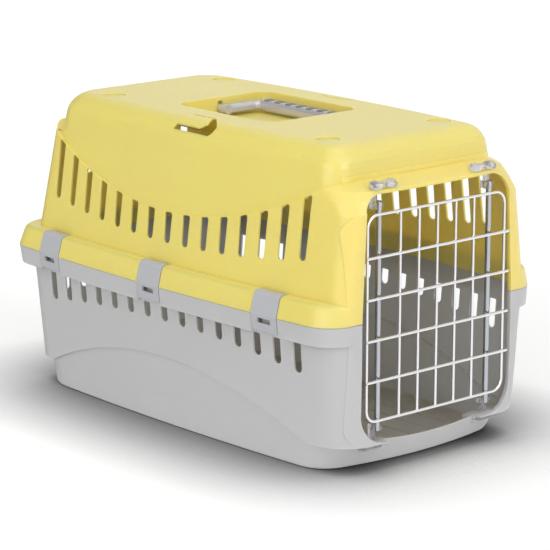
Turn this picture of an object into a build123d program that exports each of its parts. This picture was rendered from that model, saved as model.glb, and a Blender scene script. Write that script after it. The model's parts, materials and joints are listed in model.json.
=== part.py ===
"""Two-shell pet carrier with a hinged wire door, side clips and a folding handle.

Millimetres, Z up. The carrier stands on the plane Z = 0. The door faces +X, the length runs
along X, and the origin is on the floor under the middle of the rim.
"""
import os
from math import acos, asin, atan2, cos, pi, sin, sqrt, tan

from build123d import *

# Rim and parting line, which both shells share
rim_half_length = 250.0
rim_half_width = 150.0
side_bulge = 11.0
rim_corner = 32.0
rim_top_round = 5.5
rim_edge_round = 1.2
front_face = 248.0
front_bow = 0.5
parting_height = 148.0
parting_gap = 0.35
lid_rim_height = 21.0
lid_rim_lean = 5.5
base_rim_height = 19.0
base_rim_lean = 2.0

# Walls
wall = 2.0
front_wall = 4.0
floor_thickness = 3.0

# Lower shell
base_setback = 10.1
base_rear_setback = 9.5
base_side_draft = 0.087
base_end_draft = 0.068
base_rear_draft = 0.045
base_rear_corner = 34.0
base_front_corner = 28.0
base_corner_growth = 0.08
foot_height = 28.0
foot_side_inset = 3.5
foot_end_inset = 2.3
foot_rear_inset = 6.5
foot_draft = 1.7
foot_rear_corner = 40.0
foot_front_corner = 34.0
foot_corner_growth = 5.0
foot_bottom_round = 3.0
round_steps = 4
top_steps = 6
foot_front_setback = 22.0
foot_front_rake = 17.5
foot_front_bow = 16.0
arch_height = 73.0
arch_half_length = 198.0
arch_step = 1.3

# Upper shell
ledge_height = 277.0
lid_setback = 14.2
lid_rear_setback = 12.3
lid_side_draft = 0.111
lid_end_draft = 0.134
lid_rear_draft = 0.132
lid_rear_corner = 32.0
lid_front_corner = 20.0
lintel_round_start = 27.0
lintel_round_middle = 15.0
lintel_height = 7.0
lintel_lean = 2.0
lintel_bow = 8.0
ledge_depth = 24.0
ledge_bow = 10.0
top_height = 308.5
cap_rear = 214.5
cap_front = 218.0
cap_step = 0.6
cap_side_draft = 0.183
cap_end_draft = 0.135
cap_rear_corner = 38.0
cap_front_corner = 24.0
cap_end_inset = 1.5
cap_top_round = 20.0
wave_height = 219.4
wave_half_length = 217.0

# Ventilation slots
slot_count = 15
slot_pitch = 27.0
slot_middle = 2.0
slot_low_width = 9.2
slot_top_width = 11.4
slot_low_height = 188.0
slot_end_rise = 14.0
slot_top_margin = 0.8
slot_top_round = 2.5
vent_middle = 5.0
vent_width = 10.5
vent_top_height = 125.7
vent_low_height = 110.5
vent_end_drop = 14.2
vent_top_round = 1.0
rear_slot_count = 7
rear_slot_pitch = 25.5
rear_slot_low = 213.0
rear_slot_high = 258.0
rear_vent_low = 88.0

# Raised frame round the door opening
frame_raise = 0.8
base_frame_half_width = 112.8
lid_frame_half_width = 115.0
lid_frame_top = 252.0
frame_corner = 20.0

# Raised step at the front foot of the cap
plinth_outset = 1.2
plinth_height = 4.5
plinth_half_width = 96.0

# Ribs on the floor
rib_count = 7
rib_pitch = 28.0
rib_width = 3.0
rib_rise = 1.0
rib_rear = -196.0
rib_front = 192.0

# Door opening
opening_half_width = 98.6
opening_top_half_width = 92.8
opening_top = 267.0
opening_top_corner = 20.0
opening_bottom_corner = 30.0
sill_middle = 25.0
sill_end = 33.0
opening_depth = 43.0

# Wire door
rod_offset = 72.3
rod_radius = 2.8
rod_x = 241.3
wire_radius = 1.5
weld_depth = 0.3
grid_half_width = 90.0
grid_low = 50.3
wire_pitch = 39.6
cross_wire_count = 4
upright_pitch = 24.1
upright_count = 5
grid_corner = 12.0
cross_overhang = 3.6
rod_gap = 0.3

# Door latches
claw_height = 6.6
claw_gap = 2.6
claw_half_width = 6.2
claw_reach = 1.5
claw_back = 7.0
claw_heel = 0.8
claw_round = 2.0
stem_thickness = 3.2
stem_half_width = 3.5
stem_shift = 2.0
slide_gap = 0.4
latch_travel = 7.2
claw_taper = 1.6
knob_gap = 1.0
knob_forward = 3.0
knob_shift = 7.0
knob_wing_radius = 6.2
knob_wing_offset = 9.7
knob_waist = 3.4
knob_height = 5.4
knob_top_round = 2.5
knob_low_round = 1.2
shelf_height = 30.6
shelf_thickness = 4.0
button_length = 28.0
button_shift = 4.5
button_depth = 12.0
button_height = 5.0
button_gap = 0.6
pocket_gap = 0.6
seat_half_length = 22.0

# Side clips
clip_pitch = 168.0
clip_count = 3
clip_width = 34.0
clip_middle = -5.5
clip_gap = 0.7
clip_thickness = 2.8
clip_proud = 0.2
clip_cover = 0.5
clip_bend = 5.0
clip_pin_height = 133.5
clip_pin_inset = 4.1
clip_pin_radius = 1.5
clip_pin_length = 2.4
clip_pin_play = 0.4
clip_barrel_radius = 2.5
clip_barrel_gap = 0.6
clip_housing = 4.0
clip_lip_gap = 0.4
clip_window_width = 17.0
clip_window_height = 5.0
clip_window_low = 140.0
pin_fit = 0.05

# Handle and its recess
recess_half_length = 72.0
recess_half_width = 60.0
recess_middle = 1.0
recess_corner = 15.0
recess_depth = 19.0
recess_edge_round = 2.0
handle_axis_depth = 11.5
trunnion_radius = 3.0
trunnion_length = 2.0
hub_radius = 4.6
hub_length = 13.0
end_play = 0.6
grip_offset = 46.0
grip_half_length = 57.0
grip_width = 14.0
grip_thickness = 12.0
grip_round = 5.0
arm_width = 12.0
arm_thickness = 9.0
arm_round = 3.5
arm_slant = 2.0
arm_bend = 12.0
pad_count = 7
pad_pitch = 16.0
pad_length = 8.5
pad_width = 9.5
pad_depth = 1.0
pad_proud = 0.3
pad_round = 1.5
window_width = 6.0
window_height = 3.6
window_rise = 5.8

# Small features of the lid
dimple_radius = 12.0
dimple_depth = 1.2
dimple_offset = 73.0
dimple_rear = -152.0
dimple_front = 172.0
belt_rear = -11.0
belt_front = 45.5
belt_slit_front = 22.0
belt_slit_inner = 83.0
belt_slit_width = 3.0
belt_tongue_outer = 105.2
belt_tongue_front = 29.0
belt_outer = 110.6
belt_corner = 1.3
belt_front_round = 5.5
drain_radius = 2.0
drain_x = -203.0
drain_y = 106.0

os.makedirs("parts", exist_ok=True)

through = 400.0
rim_bottom = parting_height - base_rim_height
rim_top = parting_height + lid_rim_height
base_top = parting_height - parting_gap
notch_width = clip_width + 2 * clip_gap
notch_depth = clip_pin_inset + clip_barrel_radius + clip_barrel_gap
slot_reach = slot_pitch * (slot_count - 1) / 2
slot_steps = [slot_pitch * n - slot_reach for n in range(slot_count)]
rear_ys = [rear_slot_pitch * (n - (rear_slot_count - 1) / 2) for n in range(rear_slot_count)]
grid_height = wire_pitch * (cross_wire_count + 1)
mid_height = grid_low + grid_height / 2
stem_x = rod_x - claw_back + stem_thickness / 2
stem_offset = rod_offset + stem_shift


def plan(height, rear, front, bow, half, end, rear_corner, front_corner):
    """Outline of a shell seen from above: bowed long sides, bowed front, rounded corners."""
    with BuildSketch(Plane.XY.offset(height)) as outline:
        with BuildLine():
            middle = (front - rear) / 2
            ThreePointArc((-rear, -end), (middle, -half), (front, -end))
            ThreePointArc((front, -end), (front + bow, 0), (front, end))
            ThreePointArc((front, end), (middle, half), (-rear, end))
            Line((-rear, end), (-rear, -end))
        make_face()
        fillet(outline.vertices().sort_by(Axis.X)[:2], rear_corner)
        fillet(outline.vertices().sort_by(Axis.X)[-2:], front_corner)
    return outline.sketch


def lid_plan(height, inset=0.0, front_inset=0.0, drop=0.0, cut=0.0, bow=front_bow, corner=0.0):
    """Outline of the lid's lower wall at a height, which leans inwards as it rises."""
    rise = height - parting_height
    half = rim_half_width - lid_setback - lid_side_draft * rise - inset
    end = rim_half_width - side_bulge - lid_setback - lid_end_draft * rise - inset
    rear = rim_half_length - lid_rear_setback - lid_rear_draft * rise - inset
    front = front_face - cut - bow - front_inset
    round_rear = lid_rear_corner - inset
    round_front = lid_front_corner + corner - inset
    return plan(height - drop, rear, front, bow, half, end, round_rear, round_front)


def lid_wall(inset, front_inset):
    """The lid's lower wall as one solid, with the rounded lintel and the sloping ledge."""
    middle_lean = lintel_lean / 2
    middle_bow = (front_bow + lintel_bow) / 3
    sections = [
        lid_plan(parting_height - inset, inset, front_inset),
        lid_plan(ledge_height - lintel_round_start, inset, front_inset, inset),
        lid_plan(ledge_height - lintel_round_middle, inset, front_inset, inset,
                 middle_lean, middle_bow, rim_corner - lid_front_corner),
        lid_plan(ledge_height - lintel_height, inset, front_inset, inset,
                 lintel_lean, lintel_bow, lid_front_corner),
        lid_plan(ledge_height, inset, front_inset, inset, ledge_depth, ledge_bow, lid_front_corner),
    ]
    return loft(sections, ruled=True, mode=Mode.PRIVATE)


def rounded_top(outline, top, radius, inset):
    """Outlines of the rounding between a side wall and a flat top, from the wall up."""
    sections = []
    for n in range(top_steps + 1):
        turn = pi / 2 * n / top_steps
        sections.append(outline(top - radius * (1 - sin(turn)), inset + radius * (1 - cos(turn))))
    return sections


def above_wave(lift):
    """The space over the wave-shaped edge of the lid's lower wall."""
    top = ledge_height + through / 4
    with BuildSketch(Plane.XZ) as wave:
        with BuildLine():
            start = (-wave_half_length, ledge_height - lift)
            end = (wave_half_length, ledge_height - lift)
            ThreePointArc(start, (0, wave_height - lift), end)
            Polyline(end, (wave_half_length, top), (-wave_half_length, top), start)
        make_face()
    return extrude(wave.sketch, amount=through, both=True, mode=Mode.PRIVATE)


def wave_at(x):
    """Height of the wave-shaped edge at a place along the carrier."""
    sag = ledge_height - wave_height
    radius = (wave_half_length**2 + sag**2) / (2 * sag)
    return wave_height + radius - sqrt(radius**2 - x**2)


def cap_plan(height, inset):
    """Outline of the raised cap at a height."""
    rise = height - ledge_height
    half = rim_half_width - lid_setback - lid_side_draft * (wave_height - parting_height) - cap_step
    half = half - cap_side_draft * (height - wave_height) - inset
    end = rim_half_width - side_bulge - lid_setback - lid_end_draft * (ledge_height - parting_height)
    end = end - cap_end_inset - cap_end_draft * rise - inset
    rear = cap_rear - cap_end_draft * rise - inset
    front = cap_front - cap_end_draft / 2 * rise - inset
    rear_corner = cap_rear_corner - inset
    return plan(height, rear, front, front_bow, half, end, rear_corner, cap_front_corner - inset)


def base_plan(height, inset=0.0, front_inset=0.0, raised=0.0):
    """Outline of the base's upper wall at a height."""
    fall = parting_height - height
    half = rim_half_width - base_setback - base_side_draft * fall - inset
    end = rim_half_width - side_bulge - base_setback - base_end_draft * fall - inset
    rear = rim_half_length - base_rear_setback - base_rear_draft * fall - inset
    front = front_face - front_bow - front_inset
    round_rear = base_rear_corner - inset
    round_front = base_front_corner + base_corner_growth * fall - inset
    return plan(height + raised, rear, front, front_bow, half, end, round_rear, round_front)


def foot_plan(height, inset=0.0, raised=0.0):
    """Outline of the stepped foot, whose front leans out like a bow up to the sill."""
    down = (foot_height - height) / foot_height
    fall = parting_height - foot_height
    half = rim_half_width - base_setback - base_side_draft * fall
    end = rim_half_width - side_bulge - base_setback - base_end_draft * fall
    rear = rim_half_length - base_rear_setback - base_rear_draft * fall
    half = half - foot_side_inset - foot_draft * down - inset
    end = end - foot_end_inset - foot_draft * down - inset
    rear = rear - foot_rear_inset - foot_draft * down - inset
    front = front_face - foot_front_setback - foot_front_rake * down - inset
    rear_corner = foot_rear_corner + foot_corner_growth * down - inset
    front_corner = foot_front_corner - inset
    return plan(height + raised, rear, front, foot_front_bow, half, end, rear_corner, front_corner)


def foot_solid(inset, raised):
    """The foot from the floor up to the top of the arch, just inside the upper wall."""
    top = arch_height + arch_step + inset
    step = arch_step + inset
    sections = []
    for n in range(round_steps):
        turn = pi / 2 * n / round_steps
        side = foot_bottom_round * (1 - sin(turn))
        sections.append(foot_plan(foot_bottom_round * (1 - cos(turn)), inset + side, raised))
    sections += [
        foot_plan(foot_bottom_round, inset, raised),
        foot_plan(foot_height, inset),
        base_plan(top, step, step),
    ]
    return loft(sections, ruled=True, mode=Mode.PRIVATE)


def under_arch(lift):
    """The space under the arched crease of the base's long sides."""
    with BuildSketch(Plane.XZ) as arch:
        with BuildLine():
            start = (-arch_half_length, foot_height + lift)
            end = (arch_half_length, foot_height + lift)
            ThreePointArc(start, (0, arch_height + lift), end)
            Polyline(end, (arch_half_length, 0), (-arch_half_length, 0), start)
        make_face()
    return extrude(arch.sketch, amount=through, both=True, mode=Mode.PRIVATE)


def rim_plan(height, lean, inset=0.0):
    """Outline of the outward rim that both shells share at the parting line."""
    half = rim_half_width - lean - inset
    rear = rim_half_length - lean - inset
    corner = rim_corner - inset
    front = front_face - front_bow - inset
    return plan(height, rear, front, front_bow, half, half - side_bulge, corner, corner)


def lid_rim_plan(height, inset):
    """Outline of the lid's rim at a height, which leans inwards up to its top."""
    return rim_plan(height, lid_rim_lean * (height - parting_height) / lid_rim_height, inset)


def door_opening():
    """The doorway seen from the front, cut along X through both shells."""
    low = (opening_half_width, sill_end)
    middle = (opening_half_width, parting_height)
    high = (opening_top_half_width, opening_top)
    with BuildSketch(Plane.YZ.offset(front_face - opening_depth)) as doorway:
        with BuildLine():
            ThreePointArc((-low[0], low[1]), (0, sill_middle), low)
            Polyline(low, middle, high, (-high[0], high[1]), (-middle[0], middle[1]), (-low[0], low[1]))
        make_face()
        corners = doorway.vertices().group_by(Axis.Y)
        fillet(corners[0], opening_bottom_corner)
        fillet(doorway.vertices().group_by(Axis.Y)[-1], opening_top_corner)
    return extrude(doorway.sketch, amount=through, mode=Mode.PRIVATE)


def slot_face(x, low, left_top, right_top, low_width, top_width, top_round):
    """One upright slot, round at the foot, with its top edge cut along a slant."""
    with BuildSketch() as slot:
        with BuildLine():
            Polyline(
                (x - low_width / 2, low),
                (x + low_width / 2, low),
                (x + top_width / 2, right_top),
                (x - top_width / 2, left_top),
                close=True,
            )
        make_face()
        feet = slot.vertices().sort_by(Axis.Y)[:2]
        fillet(feet, low_width / 2 - slide_gap)
        fillet(slot.vertices().sort_by(Axis.Y)[-2:], top_round)
    return slot.sketch


def clip_plane(index, side):
    """Plane at a side clip: x outwards from the rim's face, y up, z along the rim."""
    along = (index - (clip_count - 1) / 2) * clip_pitch + clip_middle
    radius = (rim_half_length**2 + side_bulge**2) / (2 * side_bulge)
    turn = asin(along / radius)
    reach = rim_half_width - radius * (1 - cos(turn))
    outward = (sin(turn), side * cos(turn), 0)
    tangent = (cos(turn) * side, -sin(turn), 0)
    return Plane(origin=(along, side * reach, 0), x_dir=outward, z_dir=tangent)


clip_names = {}
for side, side_name in ((-1, "near"), (1, "far")):
    for index, place_name in enumerate(("rear", "middle", "front")):
        clip_names["side_clip_" + side_name + "_" + place_name] = clip_plane(index, side)


def clip_room(width, depth):
    """Blocks across the rim at every side clip, one width along it and one depth into it."""
    with BuildPart() as rooms:
        for place in clip_names.values():
            with BuildSketch(place) as room:
                with Locations(((lid_setback - depth) / 2, parting_height)):
                    Rectangle(depth + lid_setback, 4 * base_rim_height)
            extrude(room.sketch, amount=width / 2, both=True)
    return rooms.part


# Lid shell
with BuildPart() as cap:
    loft([cap_plan(wave_height, 0)] + rounded_top(cap_plan, top_height, cap_top_round, 0), ruled=True)

with BuildPart() as cap_hollow:
    top = rounded_top(cap_plan, top_height - wall, cap_top_round - wall, wall)
    loft([cap_plan(wave_height - 2 * wall, wall)] + top, ruled=True)
    with BuildSketch(Plane.XY.offset(top_height - recess_depth - wall)):
        with Locations((recess_middle, 0)):
            length = 2 * (recess_half_length + wall)
            RectangleRounded(length, 2 * (recess_half_width + wall), recess_corner + wall)
    extrude(amount=through, mode=Mode.SUBTRACT)

with BuildPart() as lid_body:
    add(lid_wall(0, 0))
    add(above_wave(0), mode=Mode.SUBTRACT)

with BuildPart() as lid_hollow:
    add(lid_wall(wall, front_wall))
    add(above_wave(wall), mode=Mode.SUBTRACT)
    add(cap_hollow.part)

with BuildPart() as lid_frame:
    add(lid_wall(-frame_raise, -frame_raise))
    with BuildSketch(Plane.YZ.offset(front_face - 2 * base_setback)):
        with Locations((0, lid_frame_top - through / 2)):
            RectangleRounded(2 * lid_frame_half_width, through, frame_corner)
    extrude(amount=through, mode=Mode.INTERSECT)

with BuildPart() as cap_plinth:
    loft([cap_plan(ledge_height - wall, -plinth_outset),
          cap_plan(ledge_height + plinth_height, -plinth_outset)], ruled=True)
    with BuildSketch(Plane.YZ.offset(cap_front - cap_front_corner)):
        with Locations((0, ledge_height)):
            Rectangle(2 * plinth_half_width, through)
    extrude(amount=through, mode=Mode.INTERSECT)

with BuildPart() as lid_rim:
    loft([lid_rim_plan(parting_height, 0)] + rounded_top(lid_rim_plan, rim_top, rim_top_round, 0), ruled=True)
    add(clip_room(notch_width, 2 * lid_setback), mode=Mode.SUBTRACT)

with BuildPart() as lid_rim_hollow:
    loft([rim_plan(parting_height - wall, 0, wall), rim_plan(rim_top - wall, lid_rim_lean, wall)], ruled=True)
    add(clip_room(notch_width + 2 * wall, 2 * lid_setback), mode=Mode.SUBTRACT)

with BuildPart() as lid_slots:
    with BuildSketch(Plane.XZ):
        for step in slot_steps:
            x = slot_middle + step
            low = slot_low_height + slot_end_rise * (step / slot_reach) ** 2
            left_top = wave_at(x - slot_top_width / 2) - slot_top_margin
            right_top = wave_at(x + slot_top_width / 2) - slot_top_margin
            add(slot_face(x, low, left_top, right_top, slot_low_width, slot_top_width, slot_top_round))
    extrude(amount=through, both=True)
    with BuildSketch(Plane.YZ):
        for y in rear_ys:
            low, high = rear_slot_low, rear_slot_high
            add(slot_face(y, low, high, high, slot_low_width, slot_top_width, slot_top_round))
    extrude(amount=-through)

with BuildPart() as handle_recess:
    with BuildSketch(Plane.XY.offset(top_height - recess_depth)):
        with Locations((recess_middle, 0)):
            RectangleRounded(2 * recess_half_length, 2 * recess_half_width, recess_corner)
    extrude(amount=2 * recess_depth)
    fillet(handle_recess.faces().sort_by(Axis.Z)[0].edges(), recess_edge_round)
    axis_height = top_height - handle_axis_depth
    hole_length = 2 * (recess_half_length + 2 * wall)
    with BuildSketch(Plane.YZ.offset(recess_middle - hole_length / 2)):
        with Locations((0, axis_height)):
            Circle(trunnion_radius + pin_fit)
        with Locations((0, axis_height + window_rise)):
            Rectangle(window_width, window_height)
    extrude(amount=hole_length)

with BuildPart() as belt_slots:
    with BuildSketch(Plane.XY.offset(top_height - cap_top_round)) as belt_slot:
        with BuildLine():
            Polyline(
                (belt_rear, belt_slit_inner),
                (belt_slit_front, belt_slit_inner),
                (belt_front, belt_tongue_outer - belt_slit_width),
                (belt_front, belt_outer),
                (belt_rear, belt_outer),
                (belt_rear, belt_tongue_outer),
                (belt_tongue_front - 2 * belt_slit_width, belt_tongue_outer),
                (belt_tongue_front, belt_tongue_outer - 2 * belt_slit_width),
                (belt_slit_front - belt_slit_width / 2, belt_slit_inner + belt_slit_width),
                (belt_rear, belt_slit_inner + belt_slit_width),
                close=True,
            )
        make_face()
        fillet(belt_slot.vertices().sort_by(Axis.X)[:-2], belt_corner)
        fillet(belt_slot.vertices().sort_by(Axis.X)[-2:], belt_front_round)
        mirror(about=Plane.XZ)
    extrude(amount=2 * cap_top_round)

with BuildPart() as lid_small_cuts:
    with BuildSketch(Plane.XY.offset(top_height - dimple_depth)):
        with Locations([(x, y) for x in (dimple_rear, dimple_front) for y in (-dimple_offset, dimple_offset)]):
            Circle(dimple_radius)
    extrude(amount=2 * dimple_depth)
    with BuildSketch(Plane.XY.offset(ledge_height - 2 * lintel_height)):
        with Locations((drain_x, -drain_y), (drain_x, drain_y)):
            Circle(drain_radius)
        with Locations((stem_x, -stem_offset), (stem_x, stem_offset)):
            Rectangle(stem_thickness + 2 * slide_gap, 2 * (stem_half_width + slide_gap))
    extrude(amount=2 * lintel_height + wall)

with BuildPart() as lid_shell:
    add(lid_rim.part)
    add(lid_rim_hollow.part, mode=Mode.SUBTRACT)
    add(lid_body.part)
    add(lid_frame.part)
    add(cap.part)
    add(cap_plinth.part)
    add(lid_hollow.part, mode=Mode.SUBTRACT)
    add(door_opening(), mode=Mode.SUBTRACT)
    add(lid_slots.part, mode=Mode.SUBTRACT)
    add(handle_recess.part, mode=Mode.SUBTRACT)
    add(belt_slots.part, mode=Mode.SUBTRACT)
    add(lid_small_cuts.part, mode=Mode.SUBTRACT)
lid_shell.part.label = "lid_shell"
export_step(lid_shell.part, "parts/lid_shell.step")

# Base tub
with BuildPart() as base_upper:
    loft([base_plan(foot_height), base_plan(base_top)], ruled=True)
    add(under_arch(0), mode=Mode.SUBTRACT)

with BuildPart() as base_upper_hollow:
    low = foot_height + wall
    high = base_top + wall
    loft([base_plan(low, wall, front_wall), base_plan(high, wall, front_wall)], ruled=True)
    add(under_arch(wall), mode=Mode.SUBTRACT)

button_offset = rod_offset + button_shift
pocket_back = stem_x - button_depth / 2 - pocket_gap
with BuildPart() as latch_seats:
    with BuildSketch():
        seat_depth = front_face - pocket_back + wall
        seat_x = front_face - seat_depth / 2
        with Locations((seat_x, button_offset), (seat_x, -button_offset)):
            Rectangle(seat_depth, 2 * seat_half_length)
    extrude(amount=shelf_height)

with BuildPart() as base_hollow:
    add(foot_solid(wall, floor_thickness))
    add(base_upper_hollow.part)
    add(latch_seats.part, mode=Mode.SUBTRACT)

with BuildPart() as base_frame:
    raised = -frame_raise
    loft([base_plan(foot_height, raised, raised), base_plan(base_top, raised, raised)], ruled=True)
    with BuildSketch(Plane.YZ.offset(front_face - 2 * base_setback)):
        with Locations((0, foot_height + through / 2)):
            RectangleRounded(2 * base_frame_half_width, through, frame_corner)
    extrude(amount=through, mode=Mode.INTERSECT)

with BuildPart() as floor_ribs:
    with BuildSketch(Plane.XY.offset(floor_thickness / 2)):
        for n in range(rib_count):
            with Locations(((rib_rear + rib_front) / 2, rib_pitch * (n - (rib_count - 1) / 2))):
                SlotOverall(rib_front - rib_rear, rib_width)
    extrude(amount=floor_thickness / 2 + rib_rise)

with BuildPart() as base_rim:
    loft([rim_plan(rim_bottom, base_rim_lean), rim_plan(base_top, 0)], ruled=True)
    fillet(base_rim.faces().sort_by(Axis.Z)[0].edges(), rim_edge_round)
    add(clip_room(notch_width, notch_depth), mode=Mode.SUBTRACT)

with BuildPart() as base_rim_hollow:
    loft([rim_plan(rim_bottom - wall, base_rim_lean, wall), rim_plan(base_top - wall, 0, wall)], ruled=True)
    with BuildSketch(Plane.XY.offset(rim_bottom - through / 2)):
        with Locations((front_face, 0)):
            Rectangle(4 * base_setback, 4 * rim_half_width)
    extrude(amount=through, mode=Mode.SUBTRACT)
    add(clip_room(notch_width + 2 * clip_housing, 4 * base_setback), mode=Mode.SUBTRACT)

with BuildPart() as base_vents:
    with BuildSketch(Plane.XZ):
        for step in slot_steps:
            low = vent_low_height - vent_end_drop * (step / slot_reach) ** 2
            top = vent_top_height
            add(slot_face(vent_middle + step, low, top, top, vent_width, vent_width, vent_top_round))
    extrude(amount=through, both=True)
    with BuildSketch(Plane.YZ):
        for y in rear_ys:
            low, top = rear_vent_low, vent_top_height
            add(slot_face(y, low, top, top, vent_width, vent_width, vent_top_round))
    extrude(amount=-through)

with BuildPart() as clip_pin_holes:
    for place in clip_names.values():
        with BuildSketch(place) as hole:
            with Locations((-clip_pin_inset, clip_pin_height)):
                Circle(clip_pin_radius + pin_fit)
        reach = clip_width / 2 + clip_gap + clip_pin_length + clip_pin_play
        extrude(hole.sketch, amount=reach, both=True)

button_high = shelf_height - shelf_thickness - button_gap
with BuildPart() as latch_pockets:
    with BuildSketch(Plane.XY.offset(button_high - button_height - latch_travel - pocket_gap)):
        depth = front_face - pocket_back
        with Locations((front_face - depth / 2, button_offset), (front_face - depth / 2, -button_offset)):
            Rectangle(depth, button_length + 2 * pocket_gap)
    extrude(amount=button_height + latch_travel + pocket_gap + button_gap)
    with BuildSketch(Plane.XY.offset(button_high)):
        with Locations((stem_x, stem_offset), (stem_x, -stem_offset)):
            Rectangle(stem_thickness + 2 * slide_gap, 2 * (stem_half_width + slide_gap))
    extrude(amount=2 * shelf_thickness)

with BuildPart() as base_tub:
    add(base_rim.part)
    add(base_rim_hollow.part, mode=Mode.SUBTRACT)
    add(base_upper.part)
    add(base_frame.part)
    add(foot_solid(0, 0))
    add(base_hollow.part, mode=Mode.SUBTRACT)
    add(door_opening(), mode=Mode.SUBTRACT)
    add(base_vents.part, mode=Mode.SUBTRACT)
    add(clip_pin_holes.part, mode=Mode.SUBTRACT)
    add(latch_pockets.part, mode=Mode.SUBTRACT)
    add(floor_ribs.part)
base_tub.part.label = "base_tub"
export_step(base_tub.part, "parts/base_tub.step")

# Wire door
frame_x = rod_x + rod_radius + wire_radius - weld_depth
cross_x = frame_x + 2 * wire_radius - weld_depth
rod_low = grid_low - wire_radius - claw_gap - claw_height - rod_gap
rod_high = 2 * mid_height - rod_low

with BuildPart() as door_frame_wire:
    with BuildSketch(Plane.YZ.offset(frame_x)) as frame_outline:
        with Locations((0, mid_height)):
            RectangleRounded(2 * grid_half_width, grid_height, grid_corner)
    frame_path = frame_outline.sketch.face().outer_wire()
    with BuildSketch(Plane(origin=frame_path @ 0, z_dir=frame_path % 0)) as frame_section:
        Circle(wire_radius)
    sweep(frame_section.sketch, path=frame_path)
door_frame_wire.part.label = "door_frame_wire"
export_step(door_frame_wire.part, "parts/door_frame_wire.step")

for number in range(cross_wire_count):
    with BuildPart() as cross_wire:
        height = grid_low + wire_pitch * (number + 1)
        with BuildSketch(Plane.XZ):
            with Locations((cross_x, height)):
                Circle(wire_radius)
        extrude(amount=grid_half_width + cross_overhang, both=True)
    cross_wire.part.label = "door_cross_wire_" + str(number + 1)
    export_step(cross_wire.part, "parts/" + cross_wire.part.label + ".step")

for number in range(upright_count):
    with BuildPart() as upright:
        offset_y = upright_pitch * (number - (upright_count - 1) / 2)
        with BuildSketch(Plane.XY.offset(grid_low + wire_radius - weld_depth)):
            with Locations((frame_x, offset_y)):
                Circle(wire_radius)
        extrude(amount=grid_height - 2 * (wire_radius - weld_depth))
    upright.part.label = "door_upright_wire_" + str(number + 1)
    export_step(upright.part, "parts/" + upright.part.label + ".step")

for side, name in ((-1, "door_rod_near"), (1, "door_rod_far")):
    with BuildPart() as rod:
        with BuildSketch(Plane.XY.offset(rod_low)):
            with Locations((rod_x, side * rod_offset)):
                Circle(rod_radius)
        extrude(amount=rod_high - rod_low)
        chamfer(rod.edges(), wire_radius / 3)
    rod.part.label = name
    export_step(rod.part, "parts/" + name + ".step")

# Door latches
claw_low = rod_low + rod_gap
stem_back = rod_x - claw_back
ledge_front = front_face - lintel_lean - lintel_bow
ledge_rear = front_face - ledge_depth - ledge_bow
ledge_bow_share = 1 - (rod_offset / (rim_half_width - side_bulge - lid_setback)) ** 2
ledge_front_x = ledge_front + lintel_bow * ledge_bow_share
ledge_rear_x = ledge_rear + ledge_bow * ledge_bow_share
ledge_slope = atan2(lintel_height, ledge_front_x - ledge_rear_x)
ledge_at_stem = ledge_height - lintel_height * (stem_x - ledge_rear_x) / (ledge_front_x - ledge_rear_x)


def claw(side, wide, narrow):
    """The fork that holds a rod's end, open to the front, wider at one height than at the other."""
    with BuildPart() as fork:
        for height, inset in ((wide, 0), (narrow, claw_taper)):
            with BuildSketch(Plane.XY.offset(height)) as section:
                depth = claw_heel + claw_back + claw_reach
                with Locations((rod_x + claw_reach - depth / 2, side * rod_offset)):
                    Rectangle(depth, 2 * (claw_half_width - inset))
                fillet(section.vertices(), claw_round)
        loft(ruled=True)
        with BuildSketch(Plane.XY.offset(min(wide, narrow))):
            with Locations((rod_x, side * rod_offset)):
                Circle(rod_radius + slide_gap)
            with Locations((rod_x + claw_back / 2, side * rod_offset)):
                Rectangle(claw_back, 2 * (rod_radius + slide_gap))
        extrude(amount=abs(wide - narrow), mode=Mode.SUBTRACT)
    return fork.part


def knob(side):
    """The finger knob of an upper latch: two rounded wings with a waist over the stem."""
    gain = knob_wing_offset**2 + knob_waist**2 - knob_wing_radius**2
    hollow_radius = gain / 2 / (knob_wing_radius - knob_waist)
    hollow_middle = knob_waist + hollow_radius
    reach = knob_wing_radius / (knob_wing_radius + hollow_radius)
    join_x = hollow_middle * reach
    join_y = knob_wing_offset * (1 - reach)
    tip = knob_wing_offset + knob_wing_radius
    forward = (cos(ledge_slope), 0, -sin(ledge_slope))
    normal = (sin(ledge_slope), 0, cos(ledge_slope))
    seat_x = stem_x + knob_forward * forward[0]
    seat_height = ledge_at_stem + knob_gap + knob_forward * forward[2]
    seat = (seat_x, side * (rod_offset - knob_shift), seat_height)
    with BuildPart() as wings:
        with BuildSketch(Plane(origin=seat, x_dir=forward, z_dir=normal)):
            with BuildLine():
                ThreePointArc((join_x, -join_y), (knob_waist, 0), (join_x, join_y))
                ThreePointArc((join_x, join_y), (0, tip), (-join_x, join_y))
                ThreePointArc((-join_x, join_y), (-knob_waist, 0), (-join_x, -join_y))
                ThreePointArc((-join_x, -join_y), (0, -tip), (join_x, -join_y))
            make_face()
        extrude(amount=knob_height)
        fillet(wings.faces().sort_by(Axis.Z)[-1].edges(), knob_top_round)
        fillet(wings.faces().sort_by(Axis.Z)[0].edges(), knob_low_round)
    return wings.part


def stem(side, low, high):
    """The flat stem behind a rod, from one height to another."""
    with BuildPart() as strip:
        with BuildSketch(Plane.XY.offset(low)):
            with Locations((stem_x, side * stem_offset)):
                Rectangle(stem_thickness, 2 * stem_half_width)
        extrude(amount=high - low)
    return strip.part


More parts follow.
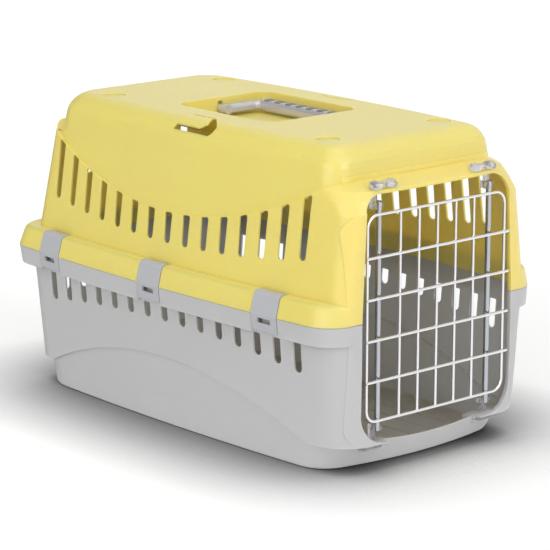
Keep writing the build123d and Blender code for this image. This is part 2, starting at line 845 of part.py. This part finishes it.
for side, side_name in ((-1, "near"), (1, "far")):
    with BuildPart() as latch_top:
        claw_high = 2 * mid_height - claw_low
        add(claw(side, claw_high, claw_high - claw_height))
        add(stem(side, claw_high - claw_height, ledge_at_stem + knob_gap + knob_height / 2))
        add(knob(side))
    latch_top.part.label = "latch_top_" + side_name
    export_step(latch_top.part, "parts/" + latch_top.part.label + ".step")

    with BuildPart() as latch_bottom:
        button_low = button_high - button_height
        with BuildSketch(Plane.XY.offset(button_low)) as button:
            with Locations((stem_x, side * button_offset)):
                RectangleRounded(button_depth, button_length, button_depth / 2 - slide_gap)
        extrude(amount=button_height)
        fillet(latch_bottom.faces().sort_by(Axis.Z)[0].edges(), button_height / 2)
        add(stem(side, button_high - button_height / 2, claw_low + claw_height))
        add(claw(side, claw_low, claw_low + claw_height))
    latch_bottom.part.label = "latch_bottom_" + side_name
    export_step(latch_bottom.part, "parts/" + latch_bottom.part.label + ".step")

# Side clips
def bend_points(before, corner, after, radius):
    """Start, middle and end of the arc that rounds a corner between two straight runs."""
    one, two = Vector(*before) - Vector(*corner), Vector(*after) - Vector(*corner)
    one, two = one.normalized(), two.normalized()
    half_turn = (pi - acos(one.dot(two))) / 2
    run = radius * tan(half_turn)
    middle = Vector(*corner) + (one + two).normalized() * (radius / cos(half_turn) - radius)
    start, end = Vector(*corner) + one * run, Vector(*corner) + two * run
    return [(point.X, point.Y) for point in (start, middle, end)]


outer_low = (clip_barrel_radius - clip_pin_inset, clip_pin_height)
outer_knee = (clip_proud, parting_height)
lip_top = rim_top + clip_cover
outer_corner = (clip_proud - lid_rim_lean, lip_top)
outer_lip = (clip_lip_gap - lid_setback, lip_top)
outer_bend = bend_points(outer_knee, outer_corner, outer_lip, clip_bend)
inner_low = (outer_low[0] - clip_thickness, clip_pin_height)
inner_knee = (outer_knee[0] - clip_thickness, parting_height)
inner_corner = (outer_corner[0] - clip_thickness, lip_top - clip_thickness)
inner_lip = (outer_lip[0], lip_top - clip_thickness)
inner_bend = bend_points(inner_knee, inner_corner, inner_lip, clip_bend - clip_thickness)
for name, place in clip_names.items():
    with BuildPart() as side_clip:
        with BuildSketch(place) as profile:
            with BuildLine():
                Polyline(outer_low, outer_knee, outer_bend[0])
                ThreePointArc(*outer_bend)
                Polyline(outer_bend[2], outer_lip, inner_lip, inner_bend[2])
                ThreePointArc(*inner_bend[::-1])
                Polyline(inner_bend[0], inner_knee, inner_low, outer_low)
            make_face()
            with Locations((-clip_pin_inset, clip_pin_height)):
                Circle(clip_barrel_radius)
        extrude(profile.sketch, amount=clip_width / 2, both=True)
        with BuildSketch(place) as pin:
            with Locations((-clip_pin_inset, clip_pin_height)):
                Circle(clip_pin_radius)
        extrude(pin.sketch, amount=clip_width / 2 + clip_gap + clip_pin_length, both=True)
        with BuildSketch(place) as window:
            with Locations((0, clip_window_low + clip_window_height / 2)):
                Rectangle(4 * clip_barrel_radius, clip_window_height)
        extrude(window.sketch, amount=clip_window_width / 2, both=True, mode=Mode.SUBTRACT)
    side_clip.part.label = name
    export_step(side_clip.part, "parts/" + name + ".step")

# Carrying handle
hub_end = recess_half_length - end_play
arm_start = hub_end - hub_length / 2
arm_end = arm_start - arm_slant
pad_top = axis_height + grip_thickness / 2
pad_xs = [recess_middle + pad_pitch * (n - (pad_count - 1) / 2) for n in range(pad_count)]

with BuildPart() as handle_pads:
    with BuildSketch(Plane.XY.offset(pad_top - pad_depth)):
        with Locations([(x, grip_offset) for x in pad_xs]):
            RectangleRounded(pad_length, pad_width, pad_round)
    extrude(amount=pad_depth + pad_proud)
handle_pads.part.label = "handle_pads"
export_step(handle_pads.part, "parts/handle_pads.step")

with BuildPart() as handle_bow:
    with BuildSketch(Plane.XY.offset(axis_height - arm_thickness / 2)) as bow_plan:
        with BuildLine(mode=Mode.PRIVATE) as bow_line:
            FilletPolyline(
                (recess_middle - arm_start, 0),
                (recess_middle - arm_end, grip_offset),
                (recess_middle + arm_end, grip_offset),
                (recess_middle + arm_start, 0),
                radius=arm_bend,
            )
        trace(bow_line.line, line_width=arm_width)
    extrude(amount=arm_thickness)
    fillet(handle_bow.edges().filter_by(Axis.Z, reverse=True), arm_round)
    with BuildSketch(Plane.YZ.offset(recess_middle)) as grip_section:
        with Locations((grip_offset, axis_height)):
            RectangleRounded(grip_width, grip_thickness, grip_round)
    extrude(amount=grip_half_length, both=True)
    for end in (-1, 1):
        with BuildSketch(Plane.YZ.offset(recess_middle + end * hub_end)) as hub_section:
            with Locations((0, axis_height)):
                Circle(hub_radius)
        extrude(hub_section.sketch, amount=-end * hub_length)
        with BuildSketch(Plane.YZ.offset(recess_middle + end * hub_end)) as pin_section:
            with Locations((0, axis_height)):
                Circle(trunnion_radius)
        extrude(pin_section.sketch, amount=end * (end_play + trunnion_length))
    add(handle_pads.part, mode=Mode.SUBTRACT)
handle_bow.part.label = "handle_bow"
export_step(handle_bow.part, "parts/handle_bow.step")
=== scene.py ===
"""Two-shell pet carrier with a wire door, seen as in the photograph.

Metres, Z up. The door faces +X, and the carrier stands on the floor at Z = 0.
"""
import json

import bpy
import numpy as np
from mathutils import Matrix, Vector


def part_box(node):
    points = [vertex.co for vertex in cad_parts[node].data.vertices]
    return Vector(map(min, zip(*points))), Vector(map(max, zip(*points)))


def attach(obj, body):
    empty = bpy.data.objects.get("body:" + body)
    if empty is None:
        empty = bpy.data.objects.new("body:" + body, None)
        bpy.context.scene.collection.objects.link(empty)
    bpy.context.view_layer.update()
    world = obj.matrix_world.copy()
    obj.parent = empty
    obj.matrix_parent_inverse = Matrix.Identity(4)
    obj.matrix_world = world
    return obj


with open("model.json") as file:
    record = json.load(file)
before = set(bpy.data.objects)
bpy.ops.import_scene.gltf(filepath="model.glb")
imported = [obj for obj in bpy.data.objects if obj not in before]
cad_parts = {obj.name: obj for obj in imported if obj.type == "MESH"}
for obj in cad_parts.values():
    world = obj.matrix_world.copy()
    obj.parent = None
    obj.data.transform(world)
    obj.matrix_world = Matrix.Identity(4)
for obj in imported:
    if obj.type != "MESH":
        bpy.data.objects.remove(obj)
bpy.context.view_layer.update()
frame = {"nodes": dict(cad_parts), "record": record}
nodes = frame["nodes"]

# Camera. It looks down at the carrier from its front near corner, through a long lens that was
# fitted to the edges of the rim, the door and the foot.
camera_place = Vector((2.00929, -1.74786, 0.77504))
camera_aim = Vector((-0.73144, 0.64059, -0.23377))
lens_millimetres = 176.7
film_millimetres = 36
camera_sight = 60
camera_data = bpy.data.cameras.new("studio_camera")
camera_data.lens = lens_millimetres
camera_data.sensor_width = film_millimetres
camera_data.clip_end = camera_sight
camera = bpy.data.objects.new("studio_camera", camera_data)
camera.location = camera_place
camera.rotation_euler = camera_aim.to_track_quat("-Z", "Y").to_euler()
bpy.context.scene.collection.objects.link(camera)
bpy.context.scene.camera = camera
bpy.context.scene.view_settings.view_transform = "Standard"


# Studio floor. A wide sheet of white paper, which keeps the carrier's soft shadow, with a painted
# shadow laid over it for the camera alone, darkest where the carrier stands on it. It is brightened
# only where the camera, metal or clear plastic looks at it, and a painted dark reflection on one side
# of it, which shows in reflections alone, gives the wires an edge.
def sheet_mesh(name, half):
    """A level square: corner (u, v) of the grid lies at half * (2u - 1, 2v - 1, 0)."""
    u, v = np.meshgrid([0.0, 1.0], [0.0, 1.0], indexing="ij")
    points = np.stack([half * (2 * u - 1), half * (2 * v - 1), 0 * u], axis=-1).reshape(-1, 3)
    mesh = bpy.data.meshes.new(name)
    mesh.from_pydata(points.tolist(), [], [(0, 2, 3, 1)])
    return mesh


def combined(tree, operation, first, second):
    """The outcome of a sum on two values, each a socket or a number."""
    made = tree.nodes.new("ShaderNodeMath")
    made.operation = operation
    for place, value in enumerate((first, second)):
        if isinstance(value, float):
            made.inputs[place].default_value = value
        else:
            tree.links.new(value, made.inputs[place])
    return made.outputs[0]


def seen_directly(tree):
    """Two values that are 1 or 0: seen by the camera, and seen by it, in a mirror or through glass."""
    path = tree.nodes.new("ShaderNodeLightPath")
    by_camera = path.outputs["Is Camera Ray"]
    mirrored = combined(tree, "MAXIMUM", by_camera, path.outputs["Is Glossy Ray"])
    return by_camera, combined(tree, "MAXIMUM", mirrored, path.outputs["Is Transmission Ray"])


# A painted dark reflection: the floor and the room turn dark on one side, in reflections alone.
dark_reflection_way = (-0.66, -0.75, 0.0)
dark_reflection_level = 0.1


def painted_dark_reflection(tree, place, start, end):
    """Painted dark reflection: what a reflection keeps, 1, and down to a dark level from start to end
    along a set way.
    """
    source = tree.nodes.new("ShaderNodeTexCoord")
    along = tree.nodes.new("ShaderNodeVectorMath")
    along.operation = "DOT_PRODUCT"
    along.inputs[1].default_value = dark_reflection_way
    tree.links.new(source.outputs[place], along.inputs[0])
    reflection_darkening = tree.nodes.new("ShaderNodeMapRange")
    reflection_darkening.inputs["From Min"].default_value = start
    reflection_darkening.inputs["From Max"].default_value = end
    reflection_darkening.inputs["To Min"].default_value = 0.0
    reflection_darkening.inputs["To Max"].default_value = 1.0 - dark_reflection_level
    tree.links.new(along.outputs["Value"], reflection_darkening.inputs["Value"])
    path = tree.nodes.new("ShaderNodeLightPath")
    loss = combined(tree, "MULTIPLY", path.outputs["Is Glossy Ray"], reflection_darkening.outputs[0])
    return combined(tree, "SUBTRACT", 1.0, loss)


floor_half = 30.0
floor_white = 0.86
floor_lift = 0.2
painted_shadow_reach = 0.14
painted_shadow_depth = 1.8
painted_shadow_samples = 12
floor_dark_reflection_start, floor_dark_reflection_end = -0.15, 0.25
paper = bpy.data.materials.new("white_paper")
paper.use_nodes = True
tree = paper.node_tree
tree.nodes.clear()
by_camera, seen = seen_directly(tree)
# Painted shadow: ambient occlusion darkens the paper's colour and glow near the carrier, for the camera
# alone.
painted_shadow_occlusion = tree.nodes.new("ShaderNodeAmbientOcclusion")
painted_shadow_occlusion.samples = painted_shadow_samples
painted_shadow_occlusion.inputs["Distance"].default_value = painted_shadow_reach
openness = combined(tree, "POWER", painted_shadow_occlusion.outputs["AO"], painted_shadow_depth)
painted_shadow_share = combined(tree, "MULTIPLY", combined(tree, "SUBTRACT", 1.0, openness), by_camera)
painted_shadow_kept = combined(tree, "SUBTRACT", 1.0, painted_shadow_share)
# The painted dark reflection darkens the paper on one side, in reflections alone.
painted_shadow_and_dark_reflection = combined(tree, "MULTIPLY", painted_shadow_kept, painted_dark_reflection(tree, "Object", floor_dark_reflection_start, floor_dark_reflection_end))
matt = tree.nodes.new("ShaderNodeBsdfDiffuse")
tree.links.new(combined(tree, "MULTIPLY", painted_shadow_and_dark_reflection, floor_white), matt.inputs["Color"])
glow = tree.nodes.new("ShaderNodeEmission")
lift = combined(tree, "MULTIPLY", seen, floor_lift)
tree.links.new(combined(tree, "MULTIPLY", lift, painted_shadow_and_dark_reflection), glow.inputs["Strength"])
both = tree.nodes.new("ShaderNodeAddShader")
tree.links.new(matt.outputs[0], both.inputs[0])
tree.links.new(glow.outputs[0], both.inputs[1])
sheet_output = tree.nodes.new("ShaderNodeOutputMaterial")
tree.links.new(both.outputs[0], sheet_output.inputs["Surface"])
floor_sheet = bpy.data.objects.new("studio_floor", sheet_mesh("studio_floor", floor_half))
floor_sheet.data.materials.append(paper)
bpy.context.scene.collection.objects.link(floor_sheet)

# Studio light. A white room lights every side, one broad lamp hangs over the carrier, one stands
# on its near side, and two before its door, low and higher, light the foot and the cabin's floor.
room_level = 0.76
room_dark_reflection_start, room_dark_reflection_end = 0.05, 0.45
room = bpy.data.worlds.new("white_room")
bpy.context.scene.world = room
room.use_nodes = True
tree = room.node_tree
tree.nodes.clear()
level = tree.nodes.new("ShaderNodeMapRange")
level.inputs["To Min"].default_value = room_level
level.inputs["To Max"].default_value = 1.0
tree.links.new(seen_directly(tree)[1], level.inputs["Value"])
air = tree.nodes.new("ShaderNodeBackground")
# Painted dark reflection: the room turns dark on one side, in reflections alone.
kept = painted_dark_reflection(tree, "Generated", room_dark_reflection_start, room_dark_reflection_end)
tree.links.new(combined(tree, "MULTIPLY", level.outputs[0], kept), air.inputs["Strength"])
room_output = tree.nodes.new("ShaderNodeOutputWorld")
tree.links.new(air.outputs[0], room_output.inputs["Surface"])


def broad_lamp(name, towards, strength, spread):
    """A far lamp that shines along a direction, with a wide face for soft shadows."""
    lamp_data = bpy.data.lights.new(name, "SUN")
    lamp_data.energy = strength
    lamp_data.angle = spread
    lamp = bpy.data.objects.new(name, lamp_data)
    lamp.rotation_euler = Vector(towards).to_track_quat("-Z", "Y").to_euler()
    bpy.context.scene.collection.objects.link(lamp)


broad_lamp("top_lamp", towards=(-0.1, 0.1, -1.0), strength=0.6, spread=1.3)
broad_lamp("side_lamp", towards=(-0.25, 0.93, -0.3), strength=1.0, spread=0.9)
broad_lamp("low_lamp", towards=(-0.95, 0.15, -0.05), strength=0.2, spread=0.8)
broad_lamp("door_lamp", towards=(-0.85, -0.05, -0.42), strength=0.65, spread=0.6)


# Lower shell. The tub is moulded in one piece from grey polypropylene, with a fine matt grain
# from the mould and slight cloudiness in the colour.
soak_depth = 0.006
clouds_per_metre = 9.0
cloud_detail = 3.0
grain_detail = 2.0
grain_strength = 0.35
plastic_spread = 0.06


def moulded_plastic(name, colour, cloud, roughness, grains_per_metre, grain_depth, soak):
    """Plastic with clouds of a second colour, and a grain that raises and roughens it.

    A share of the light, soak, goes a few millimetres into it and comes out in its own colour.
    """
    made = bpy.data.materials.new(name)
    made.use_nodes = True
    tree = made.node_tree
    surface = tree.nodes["Principled BSDF"]
    surface.inputs["Subsurface Weight"].default_value = soak
    surface.inputs["Subsurface Scale"].default_value = soak_depth
    surface.inputs["Subsurface Radius"].default_value = [channel / max(colour) for channel in colour]
    place = tree.nodes.new("ShaderNodeTexCoord")
    clouds = tree.nodes.new("ShaderNodeTexNoise")
    clouds.inputs["Scale"].default_value = clouds_per_metre
    clouds.inputs["Detail"].default_value = cloud_detail
    tree.links.new(place.outputs["Object"], clouds.inputs["Vector"])
    blend = tree.nodes.new("ShaderNodeMix")
    blend.data_type = "RGBA"
    blend.inputs["A"].default_value = (*colour, 1)
    blend.inputs["B"].default_value = (*cloud, 1)
    tree.links.new(clouds.outputs["Fac"], blend.inputs["Factor"])
    tree.links.new(blend.outputs["Result"], surface.inputs["Base Color"])
    speckle = tree.nodes.new("ShaderNodeTexNoise")
    speckle.inputs["Scale"].default_value = grains_per_metre
    speckle.inputs["Detail"].default_value = grain_detail
    tree.links.new(place.outputs["Object"], speckle.inputs["Vector"])
    rough = tree.nodes.new("ShaderNodeMapRange")
    rough.inputs["To Min"].default_value = roughness - plastic_spread
    rough.inputs["To Max"].default_value = roughness + plastic_spread
    tree.links.new(speckle.outputs["Fac"], rough.inputs["Value"])
    tree.links.new(rough.outputs[0], surface.inputs["Roughness"])
    relief = tree.nodes.new("ShaderNodeBump")
    relief.inputs["Strength"].default_value = grain_strength
    relief.inputs["Distance"].default_value = grain_depth
    tree.links.new(speckle.outputs["Fac"], relief.inputs["Height"])
    tree.links.new(relief.outputs["Normal"], surface.inputs["Normal"])
    return made


def dress(node, made):
    """Gives a CAD node one material all over."""
    slots = nodes[node].data.materials
    slots.clear()
    slots.append(made)


grey_shell = moulded_plastic(
    "grey_shell_plastic", colour=(0.55, 0.55, 0.555), cloud=(0.52, 0.52, 0.525),
    roughness=0.38, grains_per_metre=700.0, grain_depth=0.0001, soak=0.7)
dress("base_tub", grey_shell)

# Upper shell. The lid is one yellow polypropylene moulding, a little shinier than the tub. It
# stands on the rim of the tub, and the side clips hold it there.
yellow_shell = moulded_plastic(
    "yellow_shell_plastic", colour=(0.88, 0.72, 0.205), cloud=(0.84, 0.67, 0.175),
    roughness=0.30, grains_per_metre=700.0, grain_depth=0.0001, soak=0.7)
yellow_shell.node_tree.nodes["Principled BSDF"].inputs["Specular IOR Level"].default_value = 0.75
dress("lid_shell", yellow_shell)

# Wire door. Drawn steel wires and two thicker rods, spot welded where they cross and then
# plated bright all together.
ripples_per_metre = 240.0
plating_smoother = 0.05
plating_rougher = 0.07


def plated_steel(name, colour, roughness):
    """Bright plating with a faint unevenness a few millimetres apart."""
    made = bpy.data.materials.new(name)
    made.use_nodes = True
    tree = made.node_tree
    surface = tree.nodes["Principled BSDF"]
    surface.inputs["Base Color"].default_value = (*colour, 1)
    surface.inputs["Metallic"].default_value = 1.0
    place = tree.nodes.new("ShaderNodeTexCoord")
    ripple = tree.nodes.new("ShaderNodeTexNoise")
    ripple.inputs["Scale"].default_value = ripples_per_metre
    tree.links.new(place.outputs["Object"], ripple.inputs["Vector"])
    rough = tree.nodes.new("ShaderNodeMapRange")
    rough.inputs["To Min"].default_value = roughness - plating_smoother
    rough.inputs["To Max"].default_value = roughness + plating_rougher
    tree.links.new(ripple.outputs["Fac"], rough.inputs["Value"])
    tree.links.new(rough.outputs[0], surface.inputs["Roughness"])
    return made


wire_plating = plated_steel("plated_wire", colour=(0.90, 0.90, 0.92), roughness=0.14)
# The rods take a darker copy of the same plating, which paints shade on them.
rod_plating_painted_shade = plated_steel("plated_rod_painted_shade", colour=(0.52, 0.54, 0.58), roughness=0.12)
for node in frame["record"]["behaviour"]["bodies"]["door"]:
    dress(node, rod_plating_painted_shade if "rod" in node else wire_plating)

# Weld spots. Where two wires of the door cross, or its frame touches a rod, the welder melts a
# little steel into a bead, which is plated with them.
bead_size = np.array([0.0009, 0.0014, 0.0014])
bead_sides = 10
bead_rings = 5


def weld_bead_points(centre):
    """A bead squashed along X: the centre plus bead_size times the unit direction at (u, v).

    u runs round the X axis, and v from one pole, at v = 0, to the other, at v = pi.
    """
    turns = np.linspace(0, 2 * np.pi, bead_sides, endpoint=False)
    u, v = np.meshgrid(turns, np.linspace(0, np.pi, bead_rings + 2)[1:-1], indexing="ij")
    way = np.stack([np.cos(v), np.sin(v) * np.cos(u), np.sin(v) * np.sin(u)], axis=-1).reshape(-1, 3)
    poles = np.array([[1.0, 0, 0], [-1.0, 0, 0]])
    return centre + bead_size * np.concatenate([way, poles])


def weld_bead_faces(first):
    """Faces of one bead: squares between neighbours on the grid, and triangles at its poles."""
    count = bead_sides * bead_rings
    grid = first + np.arange(count).reshape(bead_sides, bead_rings)
    after = np.roll(grid, -1, axis=0)
    squares = np.stack([grid[:, :-1], grid[:, 1:], after[:, 1:], after[:, :-1]], axis=-1).reshape(-1, 4)
    near_pole = np.stack([grid[:, 0], after[:, 0], np.full(bead_sides, first + count)], axis=-1)
    far_pole = np.stack([after[:, -1], grid[:, -1], np.full(bead_sides, first + count + 1)], axis=-1)
    return squares.tolist() + near_pole.tolist() + far_pole.tolist()


def middle(node):
    """Middle of a node's box."""
    low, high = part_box(node)
    return (Vector(low) + Vector(high)) / 2


frame_low, frame_high = (Vector(corner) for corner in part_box("door_frame_wire"))
wire_radius = (frame_high.x - frame_low.x) / 2
frame_line = frame_low.x + wire_radius
bead_places = []
crossed = [middle(node).y for node in nodes if "upright" in node]
crossed += [frame_low.y + wire_radius, frame_high.y - wire_radius]
for node in nodes:
    if "cross_wire" in node:
        cross_wire = middle(node)
        bead_places += [((cross_wire.x + frame_line) / 2, y, cross_wire.z) for y in crossed]
for node in ("door_rod_near", "door_rod_far"):
    rod_low, rod_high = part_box(node)
    for height in (frame_low.z + wire_radius, frame_high.z - wire_radius):
        bead_places.append((rod_high[0], middle(node).y, height))
bead_points = np.concatenate([weld_bead_points(np.array(place)) for place in bead_places])
per_bead = len(bead_points) // len(bead_places)
bead_faces = [face for n in range(len(bead_places)) for face in weld_bead_faces(n * per_bead)]
bead_mesh = bpy.data.meshes.new("door_weld_beads")
bead_mesh.from_pydata(bead_points.tolist(), [], bead_faces)
bead_mesh.polygons.foreach_set("use_smooth", np.ones(len(bead_faces), dtype=bool))
bead_mesh.materials.append(wire_plating)
weld_beads = bpy.data.objects.new("door_weld_beads", bead_mesh)
bpy.context.scene.collection.objects.link(weld_beads)
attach(weld_beads, "door")

# Door latches. Four catches moulded from clear plastic, which slide in the front of the shells.
# Each has a winged knob outside and a claw round the end of a rod.
clear_plastic = bpy.data.materials.new("clear_latch_plastic")
clear_plastic.use_nodes = True
surface = clear_plastic.node_tree.nodes["Principled BSDF"]
surface.inputs["Base Color"].default_value = (0.84, 0.84, 0.88, 1)
surface.inputs["Roughness"].default_value = 0.2
surface.inputs["IOR"].default_value = 1.45
surface.inputs["Transmission Weight"].default_value = 0.85
for node in ("latch_top_near", "latch_top_far", "latch_bottom_near", "latch_bottom_far"):
    dress(node, clear_plastic)

# Side clips. Six grey straps of a tougher, smoother plastic, hinged on pins in the rim of the
# tub and closed over the rim of the lid.
clip_plastic = moulded_plastic(
    "clip_plastic", colour=(0.48, 0.485, 0.51), cloud=(0.45, 0.455, 0.48),
    roughness=0.34, grains_per_metre=900.0, grain_depth=0.00006, soak=0.1)
for node in nodes:
    if node.startswith("side_clip"):
        dress(node, clip_plastic)

# Carrying handle. A silver-grey bow with a satin gloss, which swings on two trunnions in the
# recess of the lid, and seven dull grip pads let into it.
silver_plastic = moulded_plastic(
    "silver_handle_plastic", colour=(0.58, 0.58, 0.64), cloud=(0.54, 0.54, 0.60),
    roughness=0.24, grains_per_metre=1200.0, grain_depth=0.00004, soak=0.0)
silver_plastic.node_tree.nodes["Principled BSDF"].inputs["Metallic"].default_value = 0.35
pad_plastic = moulded_plastic(
    "pad_plastic", colour=(0.20, 0.20, 0.24), cloud=(0.17, 0.17, 0.21),
    roughness=0.55, grains_per_metre=1200.0, grain_depth=0.00006, soak=0.0)
dress("handle_bow", silver_plastic)
dress("handle_pads", pad_plastic)
